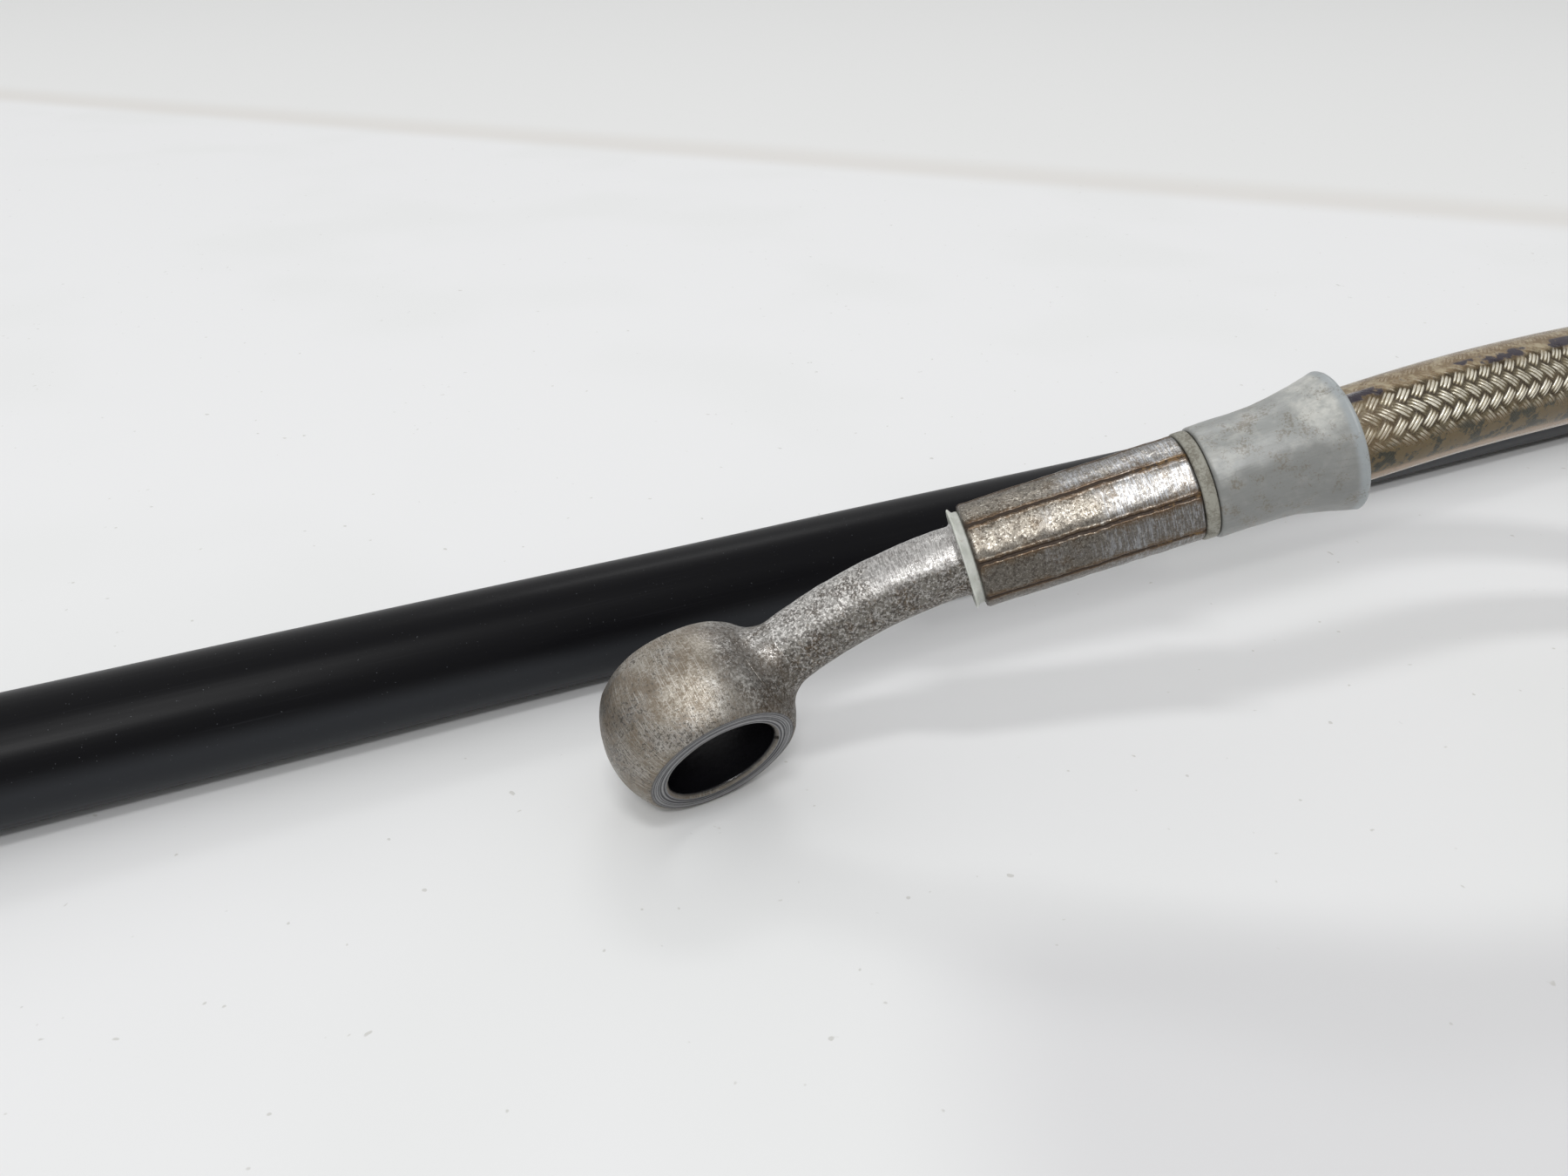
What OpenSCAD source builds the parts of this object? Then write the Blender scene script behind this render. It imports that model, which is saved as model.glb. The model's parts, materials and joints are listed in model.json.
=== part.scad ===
// Braided hydraulic brake line: a clear-jacketed stainless hose with a bent banjo eye on each end,
// a bend sleeve that slides over each end of the hose, and a loose guard tube over its long run.

/* [Banjo eye] */
// Bore for the banjo bolt
eye_bore_d = 10.1; // [6.1:0.1:10.6]
// Width of the eye between its two sealing faces
eye_width = 10; // [8:0.5:11.5]
// Diameter of the ball that the barrel is cut from
eye_belly_d = 17.2; // [16.6:0.1:19.4]
// Chamfer at each mouth of the bore
bore_chamfer = 0.3; // [0.1:0.1:0.6]
// Oil port from the bore into the neck
oil_port_d = 3.2; // [1.5:0.1:3.6]

/* [Neck] */
// Outside diameter of the neck tube
neck_od = 6.1; // [5.6:0.1:7]
// Bore of the neck tube
neck_bore_d = 2.2; // [2.1:0.1:2.4]
// Bore of the barbed tail
tail_bore_d = 1.8; // [1.2:0.1:2]
// Straight length from the centre of the eye to the start of the bend
neck_straight = 10; // [10:0.5:20]
// Angle of the bend, which ends at the collar
bend_angle = 19.2; // [10:0.2:30]
// Radius of the bend, at the middle of the tube
bend_radius = 50; // [30:1:55]
// Direction of the bend round the neck, from the eye's own plane
bend_roll = 122; // [0:1:180]
// How deep the neck sits in the eye's wall
socket_depth = 1.2; // [0.6:0.1:1.4]
// Radius of the braze fillet between the eye and the neck
fillet_r = 3; // [1:0.25:3.5]

/* [Collar and ferrule] */
// Diameter of the white washer
collar_od = 8.5; // [7.6:0.1:9.2]
// How much narrower the washer is at its back, against the ferrule
collar_taper = 0.5; // [0:0.1:1]
// Thickness of the white washer
collar_t = 0.9; // [0.5:0.1:2]
// Outside diameter of the crimped ferrule
ferrule_od = 9; // [8.8:0.1:10.4]
// Length of the ferrule
ferrule_len = 18.4; // [14:0.1:28]
// Thickness of the lip that locks the ferrule to the neck
ferrule_lip = 1.5; // [0.8:0.1:3]
// Number of crimp marks round the ferrule
crimp_count = 8; // [6:1:10]
// Where the first crimp mark lies round the ferrule
crimp_turn = 5; // [0:1:44]
// Width of one crimp mark
crimp_w = 0.5; // [0.3:0.1:0.9]
// Depth of one crimp mark
crimp_depth = 0.22; // [0.1:0.02:0.4]
// Chamfer at both ends of the ferrule
ferrule_edge = 0.35; // [0.1:0.05:0.6]

/* [Hose] */
// Outside diameter of the hose, over its clear jacket
hose_od = 8; // [7.4:0.1:8.2]
// Outside diameter of the steel braid where the jacket is stripped
braid_od = 6.9; // [6.4:0.1:7.2]
// Outside diameter of the inner liner
liner_od = 5; // [4.6:0.1:5.8]
// Inside diameter of the inner liner
liner_id = 3.5; // [3.2:0.1:4]

/* [Seat ring and bend sleeve] */
// Diameter of the soft ring between ferrule and bend sleeve
ring_od = 9.3; // [9.2:0.1:10.4]
// Thickness of the soft ring
ring_t = 1.1; // [0.4:0.1:2]
// Length of the bend sleeve
bell_len = 11.25; // [9:0.25:20]
// Diameter of the bend sleeve at its narrow end
bell_neck_od = 9.5; // [9.5:0.1:11.4]
// Diameter of the bend sleeve at its mouth
bell_mouth_od = 11.8; // [11.4:0.1:15]
// Wall of the bend sleeve at its mouth
bell_lip = 0.7; // [0.5:0.1:1]
// How far the bend sleeve slides back along the hose
bell_travel = 5; // [2:1:6]

/* [Guard tube] */
// Outside diameter of the guard tube
guard_od = 11.8; // [10.8:0.1:14]
// Inside diameter of the guard tube
guard_id = 9; // [8.8:0.1:9.4]
// Length of the guard tube
guard_len = 228; // [80:1:236]

/* [Coil and ties] */
// Diameter of the coil, at the middle of the hose
coil_d = 92; // [86:1:100]
// How far the middle of the coil lies past the end of the guard tube
coil_ahead = 22.5; // [22.5:0.5:40]
// How far the coil lies to the side of the guard tube's line
coil_side = 6; // [6:0.5:12]
// Width of a tie
tie_w = 4; // [2.5:0.5:6]
// Thickness of a tie
tie_t = 0.85; // [0.6:0.05:1.2]

/* [Layout] */
// Height of the first eye's centre above the surface
table_drop = 8.6; // [8.6:0.1:12]
// Heading of the guard tube
guard_heading = 24.8; // [20:0.2:30]

/* [Hidden] */
$fn = 96;
fit_gap = 0.02;                  // between pieces pressed or brazed together
ring_fit = 0.05;                 // round and behind the soft ring
soft_gap = 0.3;                  // between soft pieces that slide on each other
tie_gap = 0.15;                  // between a tie and the hose under it
cut = 1;                         // how far a cutter runs past a face
flare_share = 0.42;              // part of the bend sleeve's length before it opens
flare_spare = 2;                 // straight hose past the opening's start at full travel
slight = 0.1;                    // overlap that makes two solids one
bead_rise = 0.15;
groove_depth = 0.25;
barb_depth = 0.2;
bend_arc = bend_radius * bend_angle * PI / 180;
collar_at = neck_straight + bend_arc;
bead_r = neck_od / 2 + bead_rise;            // locating bead on the neck, under the washer
ferrule_at = collar_at + collar_t;
hose_at = ferrule_at + ferrule_len;          // where the hose leaves the ferrule
bell_at = hose_at + ring_t + ring_fit;
straight_to = bell_at + flare_share * bell_len + bell_travel + flare_spare;  // and straight to here
groove_r = neck_od / 2 - groove_depth;       // the neck's groove, which the ferrule's lip fills
shoulder_len = 1;                            // the neck's shoulder behind that groove
stuffing_at = ferrule_at + ferrule_lip + shoulder_len + slight;
tail_end = hose_at - cut;
barb_count = 4;
hose_r = hose_od / 2;
coil_r = coil_d / 2;

eye_a_pos = [0, 0, 0];
eye_a_turn = [117.9, -35.9, 13.4];
eye_b_pos = [-141.4, -36.6, -2.32];
eye_b_turn = [-177, -11, 14];

// The guard tube's line on the surface. The hose runs on past it, then turns into the coil.
guard_dir = [cos(guard_heading), sin(guard_heading), 0];
guard_side = [guard_dir.y, -guard_dir.x, 0];
guard_end = [-71.2, -7.8, guard_od / 2 - table_drop];
guard_lead = 8;                              // straight hose past the guard tube's second end
guard_steps = 14;
coil_lift = tie_t + tie_gap;
coil_low_z = coil_lift + hose_r - table_drop;        // middle of the lower turn
coil_high_z = coil_low_z + hose_od;                  // middle of the upper turn
coil_off = coil_r + coil_side;               // from the guard tube's line to the middle of the coil
coil_mid = guard_end + (guard_len + coil_ahead) * guard_dir + coil_off * guard_side;
coil_entry = [coil_mid.x, coil_mid.y - coil_r, coil_high_z];
tie_angles = [-55, 55];

// The turn into the coil: an arc that leaves the guard tube's line and ends on the lower turn
turn_in_r = (pow(coil_ahead - guard_lead, 2) / coil_side + coil_off + coil_r) / 2;
turn_in_angle = atan2(coil_ahead - guard_lead, turn_in_r - coil_off);
turn_in_steps = 5;

// Turns about X, then Y, then Z, as rotate() makes them
function about_x(a) = [[1, 0, 0], [0, cos(a), -sin(a)], [0, sin(a), cos(a)]];
function about_y(a) = [[cos(a), 0, sin(a)], [0, 1, 0], [-sin(a), 0, cos(a)]];
function about_z(a) = [[cos(a), -sin(a), 0], [sin(a), cos(a), 0], [0, 0, 1]];
function turned(t, v) = about_z(t[2]) * (about_y(t[1]) * (about_x(t[0]) * v));

// A point on the fitting's own line past the bend, s mm along it from the centre of the eye
function bend_exit() = [neck_straight + bend_radius * sin(bend_angle),
                        bend_radius * (1 - cos(bend_angle)), 0];
function neck_point(s) = about_x(bend_roll)
    * (bend_exit() + (s - neck_straight - bend_arc) * [cos(bend_angle), sin(bend_angle), 0]);
function end_point(pos, t, s) = pos + turned(t, neck_point(s));
function guard_point(u) = guard_end + u * guard_dir;
function turn_in_point(i) = let (a = turn_in_angle * i / turn_in_steps)
    guard_point(guard_len + guard_lead) + turn_in_r * (sin(a) * guard_dir + (1 - cos(a)) * guard_side)
    + [0, 0, (coil_low_z - guard_end.z) * i / turn_in_steps];

// Hose from the first fitting, up and over, down to the coil's upper turn
free_run = [[56.6, 6.25, 25], [60, 7.1, 25.7], [63.5, 8.1, 26.25], [67, 9.2, 26.65], [70.6, 10.5, 26.9],
            [74.2, 11.9, 27.05], [79, 13.6, 27.1], [85, 15.4, 26.9], [93, 16.9, 26], [102, 17.4, 24.3],
            [111, 16.8, 21.9], [120, 15.2, 19], [129, 13, 16], [138, 10.7, 13.1], [147, 8.5, 10.7],
            [156, 6.6, 8.6], [164, 5.2, 6.7], [171, 4.4, 5.3]];
straight_end_a = end_point(eye_a_pos, eye_a_turn, straight_to);
route_a = concat(
    [for (s = [hose_at, (hose_at + straight_to) / 2]) end_point(eye_a_pos, eye_a_turn, s)],
    [straight_end_a],
    [for (p = free_run) if (p.x > straight_end_a.x + flare_spare) p],
    [coil_entry]);
// Hose from the coil's lower turn, round the turn-in, through the guard tube, to the second fitting
route_b = concat(
    [for (i = [turn_in_steps : -1 : 1]) turn_in_point(i)],
    [for (i = [guard_steps : -1 : 0]) guard_point((guard_len + guard_lead) * i / guard_steps)],
    [for (s = [straight_to, (hose_at + straight_to) / 2, hose_at]) end_point(eye_b_pos, eye_b_turn, s)]);

// ---- places -------------------------------------------------------------------------------

module end_a() {
    translate(eye_a_pos) rotate(eye_a_turn) children();
}

module end_b() {
    translate(eye_b_pos) rotate(eye_b_turn) children();
}

// Puts children, drawn along +Z from the origin, on the line past the bend at path length s
module on_line(s) {
    rotate([bend_roll, 0, 0])
        translate(bend_exit())
            rotate([0, 0, bend_angle])
                translate([s - neck_straight - bend_arc, 0, 0])
                    rotate([0, 90, 0])
                        children();
}

module ring(outer_r, inner_r, length) {
    difference() {
        cylinder(r = outer_r, h = length);
        translate([0, 0, -cut]) cylinder(r = inner_r, h = length + 2 * cut);
    }
}

// ---- fitting ------------------------------------------------------------------------------

// The barrel without its holes: a ball cut flat at both sealing faces
module barrel() {
    intersection() {
        sphere(d = eye_belly_d, $fn = 180);
        cube([2 * eye_belly_d, 2 * eye_belly_d, eye_width], center = true);
    }
}

module bore_mouth() {
    cylinder(r1 = eye_bore_d / 2, r2 = eye_bore_d / 2 + 2 * bore_chamfer, h = 2 * bore_chamfer);
}

function socket_x() = eye_belly_d / 2 - socket_depth;

module banjo_eye() {
    difference() {
        barrel();
        cylinder(d = eye_bore_d, h = 2 * eye_width, center = true);
        translate([0, 0, eye_width / 2 - bore_chamfer]) bore_mouth();
        mirror([0, 0, 1]) translate([0, 0, eye_width / 2 - bore_chamfer]) bore_mouth();
        rotate([0, 90, 0]) cylinder(d = oil_port_d, h = eye_belly_d);
        translate([socket_x(), 0, 0]) rotate([0, 90, 0]) cylinder(d = neck_od + 2 * fit_gap, h = eye_belly_d);
    }
}

// Tube from the eye, round the bend, through the ferrule's lip, to the barbed tail in the liner
module neck() {
    difference() {
        union() {
            translate([socket_x(), 0, 0]) rotate([0, 90, 0])
                cylinder(d = neck_od, h = neck_straight - socket_x());
            rotate([bend_roll, 0, 0]) translate([neck_straight, bend_radius, 0]) rotate([0, 0, -90])
                rotate_extrude(angle = bend_angle) translate([bend_radius, 0]) circle(d = neck_od);
            on_line(collar_at - slight) cylinder(r = bead_r, h = collar_t + slight);
            on_line(ferrule_at) cylinder(r = groove_r, h = ferrule_lip);
            on_line(ferrule_at + ferrule_lip) cylinder(d = neck_od, h = shoulder_len);
            on_line(ferrule_at + ferrule_lip + shoulder_len) barbed_tail();
        }
        translate([socket_x() - cut, 0, 0]) rotate([0, 90, 0])
            cylinder(d = neck_bore_d, h = neck_straight - socket_x() + cut);
        rotate([bend_roll, 0, 0]) translate([neck_straight, bend_radius, 0]) rotate([0, 0, -90])
            rotate_extrude(angle = bend_angle) translate([bend_radius, 0]) circle(d = neck_bore_d);
        on_line(collar_at - 2 * slight) cylinder(d = tail_bore_d, h = tail_end);
    }
}

module barbed_tail() {
    length = tail_end - ferrule_at - ferrule_lip - shoulder_len;
    barb_r = liner_id / 2 - fit_gap;
    barb_pitch = length / (barb_count + 1);
    cylinder(r = barb_r - barb_depth, h = length);
    for (i = [1 : barb_count])
        translate([0, 0, i * barb_pitch])
            cylinder(r1 = barb_r, r2 = barb_r - barb_depth, h = barb_pitch * 0.7);
}

// Cove of braze round the neck, with the barrel and the neck cut away from it
module braze_fillet() {
    foot_r = neck_od / 2;
    cove_sink = 0.4;
    cove_x = eye_belly_d / 2 - cove_sink;
    difference() {
        rotate([0, 90, 0]) rotate_extrude()
            difference() {
                translate([foot_r + fit_gap, cove_x - fillet_r]) square([fillet_r * 0.55, 2 * fillet_r]);
                translate([foot_r + fit_gap + fillet_r, cove_x + fillet_r]) circle(r = fillet_r);
            }
        barrel();
    }
}

module collar() {
    on_line(collar_at) difference() {
        cylinder(d1 = collar_od, d2 = collar_od - collar_taper, h = collar_t);
        translate([0, 0, -cut]) cylinder(r = bead_r + fit_gap, h = collar_t + 2 * cut);
    }
}

// Crimped shell: a lip in the neck's groove, and a bore that holds braid and liner
module ferrule() {
    edge = ferrule_edge;
    on_line(ferrule_at) difference() {
        union() {
            cylinder(d1 = ferrule_od - 2 * edge, d2 = ferrule_od, h = edge);
            translate([0, 0, edge]) cylinder(d = ferrule_od, h = ferrule_len - 2 * edge);
            translate([0, 0, ferrule_len - edge])
                cylinder(d1 = ferrule_od, d2 = ferrule_od - 2 * edge, h = edge);
        }
        translate([0, 0, -cut]) cylinder(r = groove_r + fit_gap, h = ferrule_lip + 2 * cut);
        translate([0, 0, ferrule_lip]) cylinder(d = braid_od + 2 * fit_gap, h = ferrule_len);
        for (i = [0 : crimp_count - 1])
            rotate(crimp_turn + 360 / crimp_count * i)
                translate([ferrule_od / 2 - crimp_depth, -crimp_w / 2, -cut])
                    cube([2 * crimp_depth, crimp_w, ferrule_len + 2 * cut]);
    }
}

module liner_end() {
    on_line(stuffing_at) ring(liner_od / 2, liner_id / 2, hose_at - stuffing_at);
}

module braid_end() {
    on_line(stuffing_at) ring(braid_od / 2, liner_od / 2 + fit_gap, hose_at - stuffing_at);
}

module seat_ring() {
    on_line(hose_at) ring(ring_od / 2, hose_r + ring_fit, ring_t);
}

// Flared sleeve: a straight narrow end, then an outline that opens as the square of the way to the mouth
module bend_sleeve() {
    steps = 10;
    flare_at = bell_len * flare_share;
    bore_r = hose_r + soft_gap;
    neck_r = bell_neck_od / 2;
    mouth_r = bell_mouth_od / 2;
    round_r = 0.3;
    corner = 0.29 * round_r;         // where a round of round_r is cut at 45 degrees
    function flared(from_r, to_r, t) = from_r + (to_r - from_r) * t * t * (1.5 - 0.5 * t);
    outside = [for (i = [0 : steps]) let (t = i / steps)
        [flared(neck_r, mouth_r, t), flare_at + (bell_len - round_r - flare_at) * t]];
    inside = [for (i = [steps : -1 : 0]) let (t = i / steps)
        [flared(bore_r, mouth_r - bell_lip, t), flare_at + (bell_len - flare_at) * t]];
    on_line(bell_at) rotate_extrude() polygon(concat(
        [[bore_r, 0], [neck_r - round_r, 0], [neck_r - corner, corner], [neck_r, round_r]],
        outside,
        [[mouth_r - corner, bell_len - corner], [mouth_r - round_r, bell_len]],
        inside));
}

// ---- hose, guard and coil -----------------------------------------------------------------

function unit(v) = v / norm(v);
function heading(path, i) = unit(path[min(i + 1, len(path) - 1)] - path[max(i - 1, 0)]);

// Tube swept along a path: one level ring of sides points across the path at each of its points
module swept_tube(path, r, sides = 12) {
    rings = [for (i = [0 : len(path) - 1])
        let (t = heading(path, i), side = unit(cross([0, 0, 1], t)), up = cross(t, side))
        for (k = [0 : sides - 1]) let (a = 360 * k / sides) path[i] + r * (cos(a) * side + sin(a) * up)];
    last = (len(path) - 1) * sides;
    walls = [for (i = [0 : len(path) - 2], k = [0 : sides - 1])
        let (a = i * sides + k, b = i * sides + (k + 1) % sides) [a, a + sides, b + sides, b]];
    caps = [[for (k = [0 : sides - 1]) k], [for (k = [sides - 1 : -1 : 0]) last + k]];
    polyhedron(points = rings, faces = concat(walls, caps), convexity = 4);
}

// Outline of two hoses on each other, grown by extra all round
module stacked_outline(extra) {
    r = hose_r + extra;
    circle(r = r);
    translate([0, hose_od]) circle(r = r);
    translate([-r, 0]) square([2 * r, hose_od]);
}

module coil_tie(angle) {
    head = [3.5 * tie_t, hose_r, 1.25 * tie_w];
    translate([coil_mid.x, coil_mid.y, coil_low_z]) rotate(angle) translate([coil_r, 0, 0])
    rotate([90, 0, 0]) {
        translate([0, 0, -tie_w / 2]) linear_extrude(tie_w)
            difference() {
                stacked_outline(tie_gap + tie_t);
                stacked_outline(tie_gap);
            }
        translate([hose_r + tie_gap + tie_t / 2, hose_od / 2 - head.y / 2, -head.z / 2]) cube(head);
    }
}

// ---- nodes --------------------------------------------------------------------------------

module eye_a() { color([0.62, 0.59, 0.55]) end_a() banjo_eye(); }
module neck_a() { color([0.68, 0.66, 0.62]) end_a() neck(); }
module braze_fillet_a() { color([0.6, 0.57, 0.5]) end_a() braze_fillet(); }
module collar_a() { color([0.86, 0.87, 0.84]) end_a() collar(); }
module ferrule_a() { color([0.6, 0.57, 0.54]) end_a() ferrule(); }
module liner_end_a() { color([0.95, 0.95, 0.92]) end_a() liner_end(); }
module braid_end_a() { color([0.75, 0.7, 0.6]) end_a() braid_end(); }
module seat_ring_a() { color([0.72, 0.7, 0.64]) end_a() seat_ring(); }
module bend_sleeve_a() { color([0.66, 0.68, 0.69]) end_a() bend_sleeve(); }

module eye_b() { color([0.62, 0.59, 0.55]) end_b() banjo_eye(); }
module neck_b() { color([0.68, 0.66, 0.62]) end_b() neck(); }
module braze_fillet_b() { color([0.6, 0.57, 0.5]) end_b() braze_fillet(); }
module collar_b() { color([0.86, 0.87, 0.84]) end_b() collar(); }
module ferrule_b() { color([0.6, 0.57, 0.54]) end_b() ferrule(); }
module liner_end_b() { color([0.95, 0.95, 0.92]) end_b() liner_end(); }
module braid_end_b() { color([0.75, 0.7, 0.6]) end_b() braid_end(); }
module seat_ring_b() { color([0.72, 0.7, 0.64]) end_b() seat_ring(); }
module bend_sleeve_b() { color([0.66, 0.68, 0.69]) end_b() bend_sleeve(); }

module hose_run_a() { color([0.7, 0.63, 0.5]) swept_tube(route_a, hose_r); }
module hose_run_b() { color([0.7, 0.63, 0.5]) swept_tube(route_b, hose_r); }

module hose_coil() {
    color([0.7, 0.63, 0.5]) translate([coil_mid.x, coil_mid.y, coil_low_z])
        rotate_extrude() translate([coil_r, 0]) stacked_outline(0);
}

module guard_tube() {
    color([0.05, 0.05, 0.06]) translate(guard_end) rotate([0, 0, guard_heading]) rotate([0, 90, 0])
        ring(guard_od / 2, guard_id / 2, guard_len);
}

module coil_ties() {
    color([0.08, 0.08, 0.08]) for (angle = tie_angles) coil_tie(angle);
}

eye_a();
neck_a();
braze_fillet_a();
collar_a();
ferrule_a();
liner_end_a();
braid_end_a();
seat_ring_a();
bend_sleeve_a();
eye_b();
neck_b();
braze_fillet_b();
collar_b();
ferrule_b();
liner_end_b();
braid_end_b();
seat_ring_b();
bend_sleeve_b();
hose_run_a();
hose_coil();
hose_run_b();
guard_tube();
coil_ties();
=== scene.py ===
import bpy
import json
import math
import numpy as np
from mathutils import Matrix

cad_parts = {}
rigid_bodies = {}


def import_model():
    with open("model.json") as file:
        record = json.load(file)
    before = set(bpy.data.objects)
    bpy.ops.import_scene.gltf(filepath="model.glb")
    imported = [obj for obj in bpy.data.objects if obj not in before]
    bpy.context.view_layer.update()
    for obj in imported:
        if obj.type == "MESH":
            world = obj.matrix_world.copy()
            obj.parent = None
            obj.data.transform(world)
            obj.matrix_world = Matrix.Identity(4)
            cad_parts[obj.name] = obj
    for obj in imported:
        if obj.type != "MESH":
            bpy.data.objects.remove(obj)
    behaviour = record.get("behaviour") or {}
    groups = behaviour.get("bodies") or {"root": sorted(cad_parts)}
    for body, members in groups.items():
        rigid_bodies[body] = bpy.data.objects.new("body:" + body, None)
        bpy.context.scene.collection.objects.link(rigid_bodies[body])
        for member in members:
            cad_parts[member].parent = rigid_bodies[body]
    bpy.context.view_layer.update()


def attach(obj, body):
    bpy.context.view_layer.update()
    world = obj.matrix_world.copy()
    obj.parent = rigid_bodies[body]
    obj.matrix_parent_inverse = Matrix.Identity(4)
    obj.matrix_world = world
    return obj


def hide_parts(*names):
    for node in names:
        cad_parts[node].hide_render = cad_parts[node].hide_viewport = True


# Braided brake line: banjo fittings, clear-jacketed hose, bend sleeves and a black guard tube.
# Lengths are in millimetres until a mesh is made, which scales them by mm.

for spare in list(bpy.data.objects):
    bpy.data.objects.remove(spare)
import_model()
mm = 0.001
fullTurn = 2 * math.pi


def inScene(name, data):
    thing = bpy.data.objects.new(name, data)
    bpy.context.scene.collection.objects.link(thing)
    return thing


shot = {'place': (7.53, -79.54, 60.9), 'lookDown': 31, 'lens': 26, 'sensor': 36, 'nearest': 1}


def makeCamera():
    lens = bpy.data.cameras.new('shotLens')
    lens.lens, lens.sensor_width = shot['lens'], shot['sensor']
    lens.clip_start = shot['nearest'] * mm
    camera = inScene('shot', lens)
    camera.location = [x * mm for x in shot['place']]
    camera.rotation_euler = (math.radians(90 - shot['lookDown']), 0, 0)
    bpy.context.scene.camera = camera


makeCamera()
print("camera made")

# Where things lie: each end's place and its three turns in degrees, then lengths along a fitting's line
layout = {
    'ends': {'a': ((0, 0, 0), (117.9, -35.9, 13.4)), 'b': ((-141.4, -36.6, -2.32), (-177, -11, 14))},
    'tableDrop': 8.6,
    'straight': 10, 'bend': math.radians(19.2), 'bendRadius': 50, 'roll': math.radians(122),
    'washer': 0.9, 'ferrule': 18.4, 'seat': 1.15, 'sleeve': 11.25, 'flare': 0.42, 'travel': 5, 'spare': 2,
    'hose': 8,
    'guardStart': (-71.2, -7.8), 'guardHeading': math.radians(24.8), 'guardWide': 11.8, 'guardLong': 228,
    'guardLead': 8, 'guardSteps': 14,
    'coilWide': 92, 'coilAhead': 22.5, 'coilSide': 6, 'coilLift': 1, 'turnInSteps': 5,
}


def levelWays(turn):
    # The level direction at that angle from X, and the level direction to its right
    return np.array([math.cos(turn), math.sin(turn), 0]), np.array([math.sin(turn), -math.cos(turn), 0])


washerAt = layout['straight'] + layout['bendRadius'] * layout['bend']
ferruleAt = washerAt + layout['washer']
hoseAt = ferruleAt + layout['ferrule']
sleeveAt = hoseAt + layout['seat']
straightTo = sleeveAt + layout['flare'] * layout['sleeve'] + layout['travel'] + layout['spare']
hoseRadius, coilRadius = layout['hose'] / 2, layout['coilWide'] / 2
upright = np.array([0, 0, 1])
guardWay, guardAside = levelWays(layout['guardHeading'])
guardFrom = np.array([*layout['guardStart'], layout['guardWide'] / 2 - layout['tableDrop']])
lowTurn = layout['coilLift'] + hoseRadius - layout['tableDrop']
coilMiddle = np.array([*layout['guardStart'], lowTurn]) \
    + (layout['guardLong'] + layout['coilAhead']) * guardWay + (coilRadius + layout['coilSide']) * guardAside


def turning(angles):
    # The matrix of a turn about X, then Y, then Z, by three angles in degrees
    a, b, c = np.radians(angles)
    aboutX = np.array([[1, 0, 0], [0, np.cos(a), -np.sin(a)], [0, np.sin(a), np.cos(a)]])
    aboutY = np.array([[np.cos(b), 0, np.sin(b)], [0, 1, 0], [-np.sin(b), 0, np.cos(b)]])
    aboutZ = np.array([[np.cos(c), -np.sin(c), 0], [np.sin(c), np.cos(c), 0], [0, 0, 1]])
    return aboutZ @ aboutY @ aboutX


def placed(end, points):
    # Points of the fitting's own frame, moved to where that end of the line lies
    place, angles = layout['ends'][end]
    return points @ turning(angles).T + np.array(place, float)


def neckLine(s):
    # The fitting's line at path length s: straight, then an arc, then straight again.
    # Gives the points, the direction along the line, and two directions across it.
    s = np.asarray(s, float)[..., None]
    rollCos, rollSin = math.cos(layout['roll']), math.sin(layout['roll'])
    ahead = np.array([1.0, 0, 0])
    toBend = np.array([0, rollCos, rollSin])
    aside = np.array([0, -rollSin, rollCos])
    angle = np.clip((s - layout['straight']) / layout['bendRadius'], 0, layout['bend'])
    along = np.cos(angle) * ahead + np.sin(angle) * toBend
    across = np.cos(angle) * toBend - np.sin(angle) * ahead
    points = np.minimum(s, layout['straight']) * ahead + np.maximum(s - washerAt, 0) * along \
        + layout['bendRadius'] * (np.sin(angle) * ahead + (1 - np.cos(angle)) * toBend)
    return points, along, across, aside


def waves(points, size, seed, count=14):
    # Smooth noise, mostly from -1 to 1: sine waves of about that size in seeded directions,
    # summed and divided by the root of their count
    draw = np.random.default_rng(seed)
    aims = draw.normal(size=(count, 3))
    aims *= fullTurn / size * draw.uniform(0.6, 1.5, (count, 1)) / np.linalg.norm(aims, axis=1)[:, None]
    phases = draw.uniform(0, fullTurn, count)
    return np.sin(points @ aims.T + phases).sum(-1) / count ** 0.5


def smooth(t):
    # Eases from 0 to 1 as three t squared less two t cubed
    t = np.clip(t, 0, 1)
    return t * t * (3 - 2 * t)


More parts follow.
